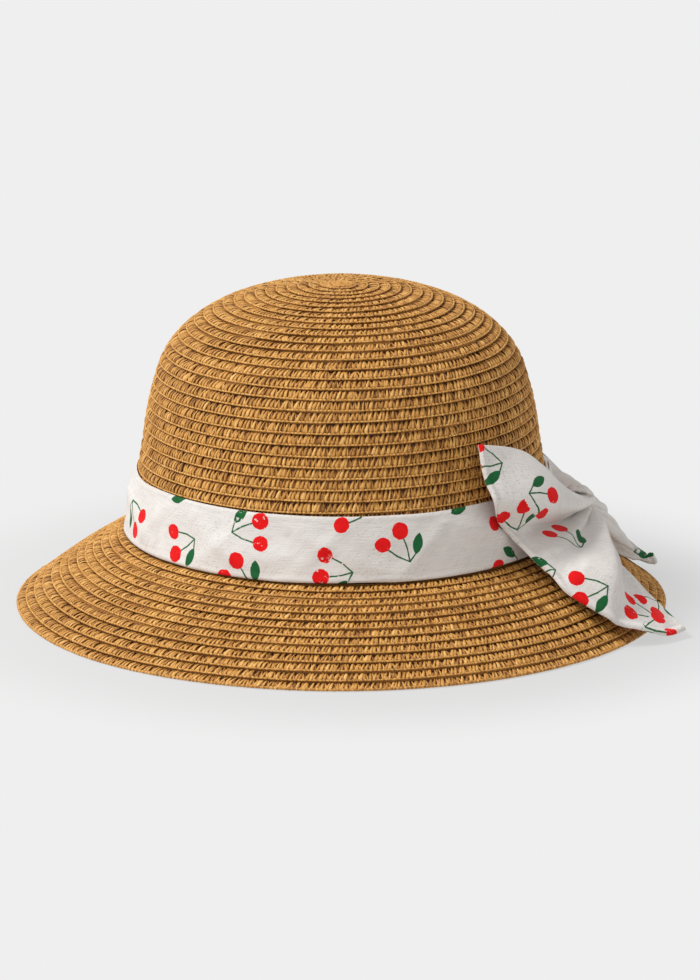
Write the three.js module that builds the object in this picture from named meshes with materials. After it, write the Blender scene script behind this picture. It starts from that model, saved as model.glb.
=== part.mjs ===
// Straw sun hat: a domed crown and a sloping brim sewn from one spiral of paper-straw braid,
// a printed cotton hatband round the crown's base, and a large soft bow tacked over its lap join.
// Millimetres, +Z up, wearer's front towards -Y, bow on the +X side. The brim's edge rests on z = 0.
import * as THREE from 'three';

// ---- Driving dimensions -------------------------------------------------------------------
const brimRadius = 143.4; // hat axis to the outermost edge
const seamRadius = 94.4; // where the crown turns out into the brim
const seamHeight = 34.4;
const crownTop = 144;
const braidPitch = 5; // visible width of one row of braid
const braidStep = 1; // how far a row's lower edge stands proud of the row under it
const strawThickness = 2.4; // two overlapping layers of braid
const tipRadius = 19; // start coil of the spiral
const sideTop = 98; // height at which the upright rows give way to the rounded top of the crown
const fit = 0.35; // gap left between pieces that touch
const bandThickness = 1.2;
const bandHeight = 27;
const sweatbandHeight = 26;
const sweatbandThickness = 1;
const bowCloth = 3; // two layers of cotton and the air between them
const bowReach = 150; // hat axis to the furthest tip of the bow
const turns = 48; // facets round every ring

// The origin is the middle of the whole hat's footprint, and the bow overhangs the brim on +X.
const axisX = (brimRadius - bowReach) / 2;

// ---- Outlines, as (radius, height) from the hat's axis --------------------------------------
const at = (r, z) => new THREE.Vector2(r, z);
const crownOutline = new THREE.SplineCurve([
  at(94, seamHeight + 0.8), at(88.6, 68), at(84, 95), at(75.8, 116.4),
  at(57.5, 132), at(30, 141.3), at(0, crownTop),
]);
const brimOutline = new THREE.SplineCurve([at(140.6, 3.6), at(119, 19), at(seamRadius, seamHeight)]);
const bandOutline = new THREE.SplineCurve([at(95.9, seamHeight + 0.7), at(93.9, 48), at(90.9, 65.4)]);

// A point at fraction t of a curve's length, moved out along the curve's normal.
function beside(curve, t, distance) {
  const point = curve.getPointAt(t);
  const along = curve.getTangentAt(t);
  return point.add(at(along.y, -along.x).multiplyScalar(distance));
}

// Fraction of a curve's length at which it reaches a height; every outline here rises steadily.
function fractionAtHeight(curve, height) {
  let low = 0;
  let high = 1;
  for (let step = 0; step < 30; step++) {
    const middle = (low + high) / 2;
    if (curve.getPointAt(middle).y < height) low = middle;
    else high = middle;
  }
  return low;
}

// ---- Makers -----------------------------------------------------------------------------------
const hat = new THREE.Group();
hat.name = 'straw_sun_hat';
hat.position.x = axisX;

function addPiece(name, geometry, colour, roughness) {
  const material = new THREE.MeshStandardMaterial({ color: colour, roughness, metalness: 0 });
  const mesh = new THREE.Mesh(geometry, material);
  mesh.name = name;
  hat.add(mesh);
  return mesh;
}

// Turns a closed (radius, height) outline round the hat's axis.
function ring(points, facets = turns) {
  const closed = [...points, points[0].clone()];
  return new THREE.LatheGeometry(closed, facets).rotateX(Math.PI / 2);
}

// A run of braid rows between two fractions of an outline. Each row slopes from its proud lower
// edge to its upper edge, which is tucked under the next row; the inside face is smooth.
function braidSection(outline, from, to) {
  const rows = Math.round((outline.getLength() * (to - from)) / braidPitch);
  const outside = [];
  for (let row = 0; row < rows; row++) {
    const lower = from + ((to - from) * row) / rows;
    const upper = from + ((to - from) * (row + 1)) / rows;
    outside.push(beside(outline, lower, 0), beside(outline, upper, -braidStep));
  }
  const inside = [];
  const insideSteps = 7;
  for (let step = insideSteps; step >= 0; step--) {
    inside.push(beside(outline, from + ((to - from) * step) / insideSteps, -strawThickness));
  }
  return [...outside, ...inside];
}

// A strip of cloth that lies against the inside or outside of an outline, between two heights.
function wallStrip(outline, lowest, highest, near, far) {
  const steps = 2;
  const from = fractionAtHeight(outline, lowest);
  const to = fractionAtHeight(outline, highest);
  const row = (distance) => Array.from({ length: steps + 1 }, (_, step) =>
    beside(outline, from + ((to - from) * step) / steps, distance));
  return [...row(far), ...row(near).reverse()];
}

// A short patch of such a strip: the same section turned through part of a circle and capped.
function patch(points, startAngle, sweep, facets = 6) {
  const path = [];
  for (let step = 0; step <= facets; step++) path.push(startAngle + (sweep * step) / facets);
  const count = points.length;
  const vertices = [];
  for (const angle of path) {
    for (const p of points) vertices.push(p.x * Math.cos(angle), p.x * Math.sin(angle), p.y);
  }
  const faces = [];
  for (let step = 0; step < facets; step++) {
    for (let i = 0; i < count; i++) {
      const j = (i + 1) % count;
      const [a, b] = [step * count + i, step * count + j];
      const [c, d] = [a + count, b + count];
      faces.push(a, c, b, b, c, d);
    }
  }
  const cap = THREE.ShapeUtils.triangulateShape(points, []);
  const last = facets * count;
  for (const [a, b, c] of cap) faces.push(a, b, c, last + a, last + c, last + b);
  return meshFrom(vertices, faces);
}

function meshFrom(vertices, faces) {
  const geometry = new THREE.BufferGeometry();
  geometry.setAttribute('position', new THREE.Float32BufferAttribute(vertices, 3));
  geometry.setIndex(faces);
  geometry.computeVertexNormals();
  return geometry;
}

// ---- Straw ------------------------------------------------------------------------------------
const strawColour = 0x9a6c38;
const tipStart = (() => {
  let t = 1;
  while (crownOutline.getPointAt(t).x < tipRadius) t -= 0.002;
  return t;
})();
const crownGap = fit / crownOutline.getLength();
const topStart = fractionAtHeight(crownOutline, sideTop);

addPiece('crown_side_braid', ring(braidSection(crownOutline, 0, topStart - crownGap)), strawColour, 0.75);
addPiece('crown_top_braid', ring(braidSection(crownOutline, topStart, tipStart - crownGap)), strawColour, 0.75);

// The start coil closes the top of the crown: a shallow stepped button on the axis.
const tipOutside = [beside(crownOutline, tipStart, 0)];
for (let coil = 1; coil <= 3; coil++) {
  const t = tipStart + ((1 - tipStart) * coil) / 4;
  tipOutside.push(beside(crownOutline, t, -braidStep), beside(crownOutline, t, 0));
}
const tipSection = [
  at(0, crownTop - strawThickness), beside(crownOutline, tipStart, -strawThickness),
  ...tipOutside, at(0, crownTop),
];
addPiece('crown_tip_coil', new THREE.LatheGeometry(tipSection, turns).rotateX(Math.PI / 2),
  strawColour, 0.75);

addPiece('brim_braid', ring(braidSection(brimOutline, 0, 1)), strawColour, 0.75);

// The last row is doubled over into a firm rounded edge, with a flat underside to stand on.
const edgeSection = [
  at(139.4, 0), at(142.4, 0), at(brimRadius, 1), at(143.2, 2.3), at(142.2, 3.2),
  at(141.3, 3.1), at(139.9, 1.5),
];
addPiece('brim_edge_row', ring(edgeSection), 0x8d6231, 0.8);

// ---- Inside of the crown ------------------------------------------------------------------------
const sweatbandNear = -(strawThickness + fit);
const sweatbandFar = sweatbandNear - sweatbandThickness;
const sweatbandLow = seamHeight + 2;
addPiece('sweatband', ring(wallStrip(crownOutline, sweatbandLow, sweatbandLow + sweatbandHeight,
  sweatbandFar, sweatbandNear)), 0xd8c6a4, 0.85);

// The sweatband's ends are lapped and sewn down at the back of the head, over a small blank label.
const backAngle = Math.PI / 2;
const lapNear = sweatbandFar - fit;
const lapFar = lapNear - sweatbandThickness;
addPiece('sweatband_lap', patch(wallStrip(crownOutline, sweatbandLow + 0.5,
  sweatbandLow + sweatbandHeight - 0.5, lapFar, lapNear), backAngle - 0.09, 0.18), 0xcdb994, 0.85);
addPiece('inner_label', patch(wallStrip(crownOutline, sweatbandLow + 4,
  sweatbandLow + sweatbandHeight - 6, lapFar, lapNear), backAngle + 0.16, 0.3), 0xf1efe9, 0.7);

// ---- Hatband --------------------------------------------------------------------------------------
const clothColour = 0xece7df;
const bandTop = seamHeight + 0.7 + bandHeight;
addPiece('hatband', ring(wallStrip(bandOutline, seamHeight + 0.7, bandTop, -bandThickness, 0)),
  clothColour, 0.9);
addPiece('hatband_lap', patch(wallStrip(bandOutline, seamHeight + 1.2, bandTop - 0.5, fit,
  fit + bandThickness), -0.1, 0.2), clothColour, 0.9);

// ---- Bow --------------------------------------------------------------------------------------------
// Each wing is one folded sheet gathered at the knot. Its fold lines run from the knot (first
// point) to the free outer edge (last point), listed from the upper edge to the lower edge.
const frontFolds = [
  [[105, -1.6, 50.8], [95, -36, 63.5], [77, -52, 81], [58, -69, 88]],
  [[106.5, -1.6, 49], [99, -36, 57], [82, -59, 71], [61.5, -71, 74]],
  [[106, -1.6, 47.2], [97, -36, 49], [82, -59, 56.5], [68, -71.5, 56]],
  [[105, -1.6, 45.5], [95, -34, 42], [85, -54, 41.5], [77, -64, 43]],
  [[106.5, -1.6, 44], [107, -36, 39.5], [101, -62, 35.5], [95, -73.5, 26]],
  [[107, -1.6, 42.6], [114.5, -30, 38], [117, -57, 30], [118, -74.5, 11.5]],
  [[105.5, -1.6, 41.2], [120, -25, 28], [135, -44, 16], [149.4, -57.5, 4]],
];
const rearFolds = [
  [[105, 1.6, 50.4], [92, 37, 55], [76, 56, 70], [58, 68, 84]],
  [[106.5, 1.6, 48.8], [98, 37, 50], [83, 61, 64], [61.5, 71.5, 71]],
  [[106, 1.6, 47], [97, 38, 45], [83, 60, 51], [68, 71.5, 54]],
  [[105, 1.6, 45.4], [96, 34, 40.5], [86, 55, 40.5], [77.5, 64, 42]],
  [[106.5, 1.6, 44], [106, 36, 36.5], [102, 61, 31.5], [96, 73, 24]],
  [[107, 1.6, 42.6], [115, 28, 34.5], [121, 50, 23.5], [119, 70, 11]],
  [[105.5, 1.6, 41.4], [119, 24, 27], [131, 40, 15], [142, 51, 7]],
];

// Smooth surface through a wing's fold lines: along runs from the knot out, across runs down.
function wingSurface(folds) {
  const lines = folds.map((fold) =>
    new THREE.CatmullRomCurve3(fold.map(([x, y, z]) => new THREE.Vector3(x, y, z))));
  return (along, across) => {
    const rib = new THREE.CatmullRomCurve3(lines.map((line) => line.getPoint(along)));
    return rib.getPoint(across);
  };
}

// A closed solid of even thickness about a surface: two offset skins joined round the rim.
function thickSheet(surface, stepsAlong, stepsAcross, thickness, flip) {
  const skins = [[], []];
  const nudge = 0.01;
  for (let i = 0; i <= stepsAlong; i++) {
    for (let j = 0; j <= stepsAcross; j++) {
      const [u, v] = [i / stepsAlong, j / stepsAcross];
      const [u0, u1] = [Math.max(u - nudge, 0), Math.min(u + nudge, 1)];
      const [v0, v1] = [Math.max(v - nudge, 0), Math.min(v + nudge, 1)];
      const alongEdge = surface(u1, v).sub(surface(u0, v));
      const acrossEdge = surface(u, v1).sub(surface(u, v0));
      const normal = alongEdge.cross(acrossEdge).normalize().multiplyScalar(flip ? -1 : 1);
      skins[0].push(surface(u, v).addScaledVector(normal, thickness / 2));
      skins[1].push(surface(u, v).addScaledVector(normal, -thickness / 2));
    }
  }
  const width = stepsAcross + 1;
  const count = skins[0].length;
  const vertices = [...skins[0], ...skins[1]].flatMap((p) => [p.x, p.y, p.z]);
  const faces = [];
  const quad = (a, b, c, d) => (flip ? faces.push(a, c, b, a, d, c) : faces.push(a, b, c, a, c, d));
  for (let i = 0; i < stepsAlong; i++) {
    for (let j = 0; j < stepsAcross; j++) {
      const a = i * width + j;
      quad(a, a + width, a + width + 1, a + 1);
      quad(count + a, count + a + 1, count + a + width + 1, count + a + width);
    }
  }
  const rim = [];
  for (let j = 0; j < stepsAcross; j++) rim.push(j);
  for (let i = 0; i < stepsAlong; i++) rim.push(i * width + stepsAcross);
  for (let j = stepsAcross; j > 0; j--) rim.push(stepsAlong * width + j);
  for (let i = stepsAlong; i > 0; i--) rim.push(i * width);
  rim.forEach((a, index) => {
    const b = rim[(index + 1) % rim.length];
    quad(a, b, count + b, count + a);
  });
  return meshFrom(vertices, faces);
}

addPiece('bow_front_wing', thickSheet(wingSurface(frontFolds), 10, 20, bowCloth, false),
  clothColour, 0.9);
addPiece('bow_rear_wing', thickSheet(wingSurface(rearFolds), 10, 20, bowCloth, true),
  clothColour, 0.9);

// The wrap is a closed loop of cloth round the gathered waist; its axis runs along the bow.
const wrap = { x: 105.8, z: 45.5, halfX: 6.9, halfZ: 10.2, wall: 1.6, width: 10, corner: 3.5 };
function roundedLoop(path, halfX, halfZ, corner) {
  path.moveTo(-halfX + corner, -halfZ);
  path.lineTo(halfX - corner, -halfZ);
  path.absarc(halfX - corner, -halfZ + corner, corner, -Math.PI / 2, 0);
  path.absarc(halfX - corner, halfZ - corner, corner, 0, Math.PI / 2);
  path.absarc(-halfX + corner, halfZ - corner, corner, Math.PI / 2, Math.PI);
  path.absarc(-halfX + corner, -halfZ + corner, corner, Math.PI, Math.PI * 1.5);
  return path;
}
const wrapShape = roundedLoop(new THREE.Shape(), wrap.halfX, wrap.halfZ, wrap.corner);
wrapShape.holes.push(roundedLoop(new THREE.Path(), wrap.halfX - wrap.wall, wrap.halfZ - wrap.wall,
  wrap.corner - wrap.wall));
const wrapBody = new THREE.ExtrudeGeometry(wrapShape,
  { depth: wrap.width, bevelEnabled: false, curveSegments: 5 });
wrapBody.translate(0, 0, -wrap.width / 2).rotateX(Math.PI / 2);
const bowWrap = addPiece('bow_wrap', wrapBody, clothColour, 0.9);
bowWrap.position.set(wrap.x, 0, wrap.z);

// Two bar tacks of thread hold the back of the wrap to the hatband's lap.
const tackThread = 0.45; // radius
const tackHeights = [41, 51];
const tackParts = tackHeights.map((height) => {
  const lapSurface = beside(bandOutline, fractionAtHeight(bandOutline, height), fit + bandThickness);
  const from = lapSurface.x + fit;
  const to = wrap.x - wrap.halfX - fit;
  const route = new THREE.LineCurve3(new THREE.Vector3(from, 0, height), new THREE.Vector3(to, 0, height));
  const section = new THREE.Shape().absarc(0, 0, tackThread, 0, Math.PI * 2);
  return new THREE.ExtrudeGeometry(section, { extrudePath: route, steps: 1, curveSegments: 6 });
});
tackParts.forEach((geometry, index) =>
  addPiece(`bow_tack_${index === 0 ? 'lower' : 'upper'}`, geometry, 0xf4f2ee, 0.6));

export default hat;
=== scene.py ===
import math

import bpy
import numpy as np
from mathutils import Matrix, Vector


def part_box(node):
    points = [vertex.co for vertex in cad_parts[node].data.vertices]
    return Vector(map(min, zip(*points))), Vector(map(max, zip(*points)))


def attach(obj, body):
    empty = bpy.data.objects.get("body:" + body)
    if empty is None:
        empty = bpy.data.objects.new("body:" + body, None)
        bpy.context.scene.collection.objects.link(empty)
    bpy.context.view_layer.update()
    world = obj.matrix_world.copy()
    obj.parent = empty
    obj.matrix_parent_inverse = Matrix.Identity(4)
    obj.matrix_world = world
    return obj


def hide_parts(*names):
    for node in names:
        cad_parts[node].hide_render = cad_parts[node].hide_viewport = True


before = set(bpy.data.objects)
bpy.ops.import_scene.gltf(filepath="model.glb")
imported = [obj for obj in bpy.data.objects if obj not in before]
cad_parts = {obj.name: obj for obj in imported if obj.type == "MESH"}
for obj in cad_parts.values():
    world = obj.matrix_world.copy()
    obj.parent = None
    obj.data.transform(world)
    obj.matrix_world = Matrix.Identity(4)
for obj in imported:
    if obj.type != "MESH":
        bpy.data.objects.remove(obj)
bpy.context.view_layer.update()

MM = 0.001
TURN = 2 * math.pi
rng = np.random.default_rng(20)

# ---- Driving dimensions ----
EDGE_LOW, EDGE_HIGH = [np.array(corner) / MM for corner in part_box("brim_edge_row")]
BAND_LOW, BAND_HIGH = [np.array(corner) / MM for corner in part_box("hatband")]
SWEAT_LOW, SWEAT_HIGH = [np.array(corner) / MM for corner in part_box("sweatband")]
AXIS_X = (EDGE_LOW[0] + EDGE_HIGH[0]) / 2
BRIM_RADIUS = (EDGE_HIGH[0] - EDGE_LOW[0]) / 2
CROWN_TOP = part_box("crown_tip_coil")[1][2] / MM
SEAM_RADIUS, SEAM_HEIGHT = 94.4, 34.4  # where crown and brim meet
CROWN_PITCH = 4.85  # visible width of a row of braid on the crown
BRIM_PITCH = 4.95  # of the outer row; each row further in is narrower by twice BRIM_TAPER
BRIM_TAPER = 0.035
BRIM_ROWS = 13
BRIM_JOG = 0.2  # part of a turn in which the brim's braid changes row
TIP_LENGTH = 5  # of the crown's outline, under the start coil
STRAND_SPACING = 2.1  # along a row
PLY_LENGTH = 3.4  # of the edge cord's twist, in quarters of STRAND_SPACING
WALL = 2.4  # thickness of the braid, crest to inner face
BACK = math.pi / 2  # angle of the back of the head, where the inside bands are joined
RIGHT, BACKWARD = np.array([1.0, 0, 0]), np.array([0, 1.0, 0])

# Outlines as (radius, height), from the bottom up.
CROWN_POINTS = [
    (94, SEAM_HEIGHT + 0.8), (88.6, 68), (84, 95), (75.8, 116.4), (57.5, 132), (30, 141.3),
    (0, CROWN_TOP),
]
BRIM_POINTS = [(BRIM_RADIUS + 0.3, 1.0), (120, 18.7), (SEAM_RADIUS, SEAM_HEIGHT)]
BAND_POINTS = [(96.2, BAND_LOW[2] - 1), (93.9, 48), (90.4, BAND_HIGH[2])]


# ---- Curves ----
def catmull_rom(points, t):
    """The uniform Catmull-Rom curve through points, or through whole lines of points, at
    fractions t from 0 to 1."""
    points = np.asarray(points, float)
    spans = len(points) - 1
    place = np.clip(np.asarray(t, float) * spans, 0, spans - 1e-9)
    i = place.astype(int)
    w = (place - i).reshape(place.shape + (1,) * (points.ndim - 1))
    before, start = points[np.maximum(i - 1, 0)], points[i]
    end, after = points[i + 1], points[np.minimum(i + 2, spans)]
    v0, v1 = (end - before) * 0.5, (after - start) * 0.5
    return (
        (2 * start - 2 * end + v0 + v1) * w**3
        + (-3 * start + 3 * end - 2 * v0 - v1) * w**2 + v0 * w + start
    )


def ease(t):
    """A smooth step from 0 to 1."""
    return t * t * (3 - 2 * t)


def ridge(distance, middle, width):
    """A soft ridge, 1 high at the middle."""
    return np.exp(-(((distance - middle) / width) ** 2))


def edge_round(distance, width):
    """0 at an edge, rising like a quarter circle to 1 at width from it."""
    t = np.clip(distance / width, 0, 1)
    return np.sqrt(np.clip(1 - (1 - t) ** 2, 0, 1))


def round_column(count):
    """Angles evenly round a full turn, as a column."""
    return np.linspace(0, TURN, count, endpoint=False)[:, None]


class Outline:
    """A rising (radius, height) outline measured by its own length from the bottom."""

    def __init__(self, points):
        line = catmull_rom(points, np.linspace(0, 1, 1200))
        steps = np.linalg.norm(np.diff(line, axis=0), axis=1)
        self.s = np.concatenate([[0], np.cumsum(steps)])
        self.length = self.s[-1]
        tangent = np.gradient(line, self.s, axis=0)
        tangent /= np.linalg.norm(tangent, axis=1)[:, None]
        self.r, self.z = line.T
        self.nr, self.nz = tangent[:, 1], -tangent[:, 0]

    def at(self, s):
        return [np.interp(s, self.s, column) for column in (self.r, self.z, self.nr, self.nz)]

    def at_height(self, z):
        return np.interp(z, self.z, self.s)

    def place(self, theta, s, h):
        """Points at angle theta, distance s up the outline and h out along its normal."""
        r, z, nr, nz = self.at(s)
        radius, height = r + nr * h, np.maximum(z + nz * h, 0.03)
        return np.stack([AXIS_X + radius * np.cos(theta), radius * np.sin(theta), height], -1)

    def normal(self, theta, s):
        _, _, nr, nz = self.at(s)
        return np.stack([nr * np.cos(theta), nr * np.sin(theta), nz + 0 * theta], -1)


CROWN = Outline(CROWN_POINTS)
BRIM = Outline(BRIM_POINTS)
BAND = Outline(BAND_POINTS)


# ---- Meshes ----
def add_object(name, data):
    """A new object in the scene."""
    made = bpy.data.objects.new(name, data)
    bpy.context.scene.collection.objects.link(made)
    return made


def make_piece(name, points, quads, materials, replaces=(), face_slots=None):
    """A smooth mesh object that rides on the hat's one body."""
    mesh = bpy.data.meshes.new(name)
    points = np.asarray(points, float).reshape(-1, 3) * MM
    quads = np.asarray(quads, int).reshape(-1, 4)
    mesh.vertices.add(len(points))
    mesh.vertices.foreach_set("co", points.ravel())
    mesh.loops.add(quads.size)
    mesh.loops.foreach_set("vertex_index", quads.ravel())
    mesh.polygons.add(len(quads))
    mesh.polygons.foreach_set("loop_start", np.arange(0, quads.size, 4))
    mesh.polygons.foreach_set("loop_total", np.full(len(quads), 4))
    mesh.polygons.foreach_set("use_smooth", np.ones(len(quads), bool))
    for material in materials:
        mesh.materials.append(material)
    if face_slots is not None:
        mesh.polygons.foreach_set("material_index", np.asarray(face_slots, int))
    mesh.update()
    mesh.validate()
    piece = add_object(name, mesh)
    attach(piece, "root")
    if replaces:
        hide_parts(*replaces)
    return piece


def set_tone(piece, values):
    attribute = piece.data.attributes.new("tone", "FLOAT", "POINT")
    attribute.data.foreach_set("value", np.asarray(values, np.float32).ravel())


def corner_vectors(piece, name, values):
    attribute = piece.data.attributes.new(name, "FLOAT_VECTOR", "CORNER")
    attribute.data.foreach_set("vector", np.asarray(values, np.float32).ravel())


def unit(v):
    return v / np.maximum(np.linalg.norm(v, axis=-1, keepdims=True), 1e-9)


def tubes(centres, normals, half_width, half_thick, sides):
    """Closed tubes: centres and normals are (tube, ring, 3). Returns points and quads."""
    along = unit(np.gradient(centres, axis=1))
    side = unit(np.cross(along, normals))
    up = np.cross(side, along)
    turn = np.arange(sides) * TURN / sides
    half_width = np.broadcast_to(half_width, centres.shape[:2])[..., None, None]
    half_thick = np.broadcast_to(half_thick, centres.shape[:2])[..., None, None]
    ring = (
        side[:, :, None] * half_width * np.cos(turn)[:, None]
        + up[:, :, None] * half_thick * np.sin(turn)[:, None]
    )
    points = centres[:, :, None] + ring
    count, rings = centres.shape[:2]
    first = (np.arange(count) * rings * sides)[:, None, None]
    ring_start = (np.arange(rings - 1) * sides)[None, :, None]
    k = np.arange(sides)[None, None]
    a = first + ring_start + k
    b = first + ring_start + (k + 1) % sides
    walls = np.stack([a, b, b + sides, a + sides], -1).reshape(-1, 4)
    caps = []
    last = (rings - 1) * sides
    for j in range(1, sides - 2, 2):
        start = np.stack([first[:, 0, 0] + n for n in (0, j + 2, j + 1, j)], -1)
        end = np.stack([first[:, 0, 0] + last + n for n in (0, j, j + 1, j + 2)], -1)
        caps += [start, end]
    return points.reshape(-1, 3), np.concatenate([walls, *caps])


class Bundle:
    """Collects tubes that make one piece, with a tone value for each point."""

    def __init__(self):
        self.points, self.quads, self.tone, self.count = [], [], [], 0

    def add(self, points, quads, tone):
        self.points.append(points)
        self.quads.append(quads + self.count)
        self.tone.append(np.broadcast_to(np.ravel(tone), len(points)))
        self.count += len(points)

    def piece(self, name, material, slot, replaces=()):
        points, quads = np.concatenate(self.points), np.concatenate(self.quads)
        made = make_piece(name, points, quads, [material], replaces)
        set_tone(made, np.concatenate(self.tone))


# ---- Node helpers ----
class Value:
    """A socket in a node tree that can be used in ordinary arithmetic."""

    def __init__(self, tree, socket):
        self.tree, self.socket = tree, socket

    def math(self, operation, other=None):
        node = self.tree.nodes.new("ShaderNodeMath")
        node.operation = operation
        for index, value in enumerate((self, other)):
            if isinstance(value, Value):
                self.tree.links.new(value.socket, node.inputs[index])
            elif value is not None:
                node.inputs[index].default_value = value
        return Value(self.tree, node.outputs[0])

    def __add__(self, other):
        return self.math("ADD", other)

    def __sub__(self, other):
        return self.math("SUBTRACT", other)

    def __mul__(self, other):
        return self.math("MULTIPLY", other)

    def least(self, other):
        return self.math("MINIMUM", other)

    def most(self, other):
        return self.math("MAXIMUM", other)

    def length_with(self, other):
        return (self * self + other * other).math("SQRT")

    def remap(self, low, high, to_low=0.0, to_high=1.0):
        node = self.tree.nodes.new("ShaderNodeMapRange")
        node.interpolation_type = "SMOOTHSTEP"
        for index, value in enumerate((low, high, to_low, to_high), start=1):
            node.inputs[index].default_value = value
        self.tree.links.new(self.socket, node.inputs[0])
        return Value(self.tree, node.outputs[0])


class Shader:
    """A Principled material whose nodes are added by name."""

    def __init__(self, name, roughness, specular, sheen=0.0):
        self.material = bpy.data.materials.new(name)
        self.material.use_nodes = True
        self.tree = self.material.node_tree
        self.bsdf = self.tree.nodes["Principled BSDF"]
        for socket, value in (
            ("Roughness", roughness), ("Specular IOR Level", specular),
            ("Sheen Weight", sheen), ("Sheen Roughness", 0.4),
        ):
            self.bsdf.inputs[socket].default_value = value

    def link(self, source, target):
        self.tree.links.new(source.socket if isinstance(source, Value) else source, target)

    def attribute(self, name, output="Fac"):
        node = self.tree.nodes.new("ShaderNodeAttribute")
        node.attribute_name = name
        return node.outputs[output]

    def value(self, name):
        return Value(self.tree, self.attribute(name))

    def vector_parts(self, name):
        node = self.tree.nodes.new("ShaderNodeSeparateXYZ")
        self.link(self.attribute(name, "Vector"), node.inputs[0])
        return [Value(self.tree, output) for output in node.outputs]

    def position(self):
        node = self.tree.nodes.new("ShaderNodeTexCoord")
        return node.outputs["Object"]

    def scaled(self, vector, scale):
        node = self.tree.nodes.new("ShaderNodeMapping")
        node.inputs["Scale"].default_value = scale
        self.link(vector, node.inputs["Vector"])
        return node.outputs[0]

    def noise(self, vector, scale, detail=3.0, roughness=0.55):
        node = self.tree.nodes.new("ShaderNodeTexNoise")
        node.inputs["Scale"].default_value = scale
        node.inputs["Detail"].default_value = detail
        node.inputs["Roughness"].default_value = roughness
        self.link(vector, node.inputs["Vector"])
        return Value(self.tree, node.outputs[0])

    def ramp(self, factor, *stops):
        node = self.tree.nodes.new("ShaderNodeValToRGB")
        elements = node.color_ramp.elements
        while len(elements) < len(stops):
            elements.new(0.5)
        for element, (place, colour) in zip(elements, stops):
            element.position = place
            element.color = (*colour, 1)
        self.link(factor, node.inputs[0])
        return node.outputs[0]

    def mix(self, factor, first, second):
        node = self.tree.nodes.new("ShaderNodeMix")
        node.data_type = "RGBA"
        self.link(factor, node.inputs[0])
        for index, colour in ((6, first), (7, second)):  # the node's colour inputs A and B
            if isinstance(colour, tuple):
                node.inputs[index].default_value = (*colour, 1)
            else:
                self.link(colour, node.inputs[index])
        return node.outputs[2]

    def base(self, colour):
        self.link(colour, self.bsdf.inputs["Base Color"])

    def rough(self, value):
        self.link(value, self.bsdf.inputs["Roughness"])

    def bump(self, height, strength, distance):
        node = self.tree.nodes.new("ShaderNodeBump")
        node.inputs["Strength"].default_value = strength
        node.inputs["Distance"].default_value = distance
        self.link(height, node.inputs["Height"])
        self.link(node.outputs[0], self.bsdf.inputs["Normal"])


# ---- Materials ----
def straw_material(name, stops):
    """Dry paper straw: each strand has its own tone, which also carries the painted highlights and
    painted shade set on the strands and lining, with fine creases along its length.
    """
    shader = Shader(name, roughness=0.6, specular=0.45)
    place = shader.position()
    blotch = shader.noise(place, 45, detail=3)
    fibre = shader.noise(place, 1500, detail=4, roughness=0.75)
    tone = shader.value("tone") + (blotch - 0.5) * 0.25 + (fibre - 0.5) * 0.9
    shader.base(shader.ramp(tone, *stops))
    shader.rough(fibre.remap(0.3, 0.7, 0.5, 0.75))
    shader.bump(fibre, 0.6, 0.0003)
    return shader.material


STRAW = straw_material("straw_braid", [
    (0.0, (0.075, 0.022, 0.003)), (0.33, (0.36, 0.145, 0.022)),
    (0.62, (0.63, 0.308, 0.064)), (1.0, (0.85, 0.51, 0.165)),
])
EDGE_STRAW = straw_material("straw_edge", [
    (0.0, (0.10, 0.034, 0.005)), (0.33, (0.38, 0.155, 0.026)),
    (0.62, (0.66, 0.33, 0.072)), (1.0, (0.87, 0.53, 0.18)),
])


def straw_inside_material():
    """The back of the braid seen from inside the hat: slanting strands over the stepped rows."""
    shader = Shader("straw_inside", roughness=0.7, specular=0.25)
    place = shader.position()
    along, across, _ = shader.vector_parts("weave")
    slant = (along + across * 0.8).math("FRACT")
    strand = (slant - 0.5).math("ABSOLUTE").remap(0.1, 0.5, 1.0, 0.0)
    seam = (across.math("FRACT") - 0.5).math("ABSOLUTE").remap(0.36, 0.5)
    blotch = shader.noise(place, 80, detail=3)
    tone = strand * 0.6 + blotch * 0.5 - seam * 0.45
    stops = [(0.1, (0.11, 0.045, 0.012)), (0.6, (0.42, 0.2, 0.05)), (1.0, (0.6, 0.34, 0.11))]
    shader.base(shader.ramp(tone, *stops))
    shader.bump(strand + shader.noise(place, 900) * 0.4, 0.8, 0.0005)
    return shader.material


INSIDE_STRAW = straw_inside_material()


def thread_material(name, pale, dark):
    """Twisted sewing thread or ribbon yarn."""
    shader = Shader(name, roughness=0.55, specular=0.4, sheen=0.2)
    twist = shader.noise(shader.scaled(shader.position(), (1, 1, 3)), 1500, detail=2)
    shader.base(shader.ramp(twist, (0.3, dark), (0.7, pale)))
    shader.bump(twist, 0.5, 0.0002)
    return shader.material


def disc(x, y, centre, radius, squeeze=1.0):
    """Distance outside a disc, flattened by squeeze."""
    return (x - centre[0]).length_with((y - centre[1]) * squeeze) - radius


def stroke(x, y, *points):
    """Distance from the bent line through the points."""
    nearest = None
    for start, end in zip(points, points[1:]):
        dx, dy = end[0] - start[0], end[1] - start[1]
        along = ((x - start[0]) * dx + (y - start[1]) * dy) * (1 / (dx * dx + dy * dy))
        t = along.least(1.0).most(0.0)
        gap = (x - start[0] - t * dx).length_with(y - start[1] - t * dy)
        nearest = gap if nearest is None else nearest.least(gap)
    return nearest


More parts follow.
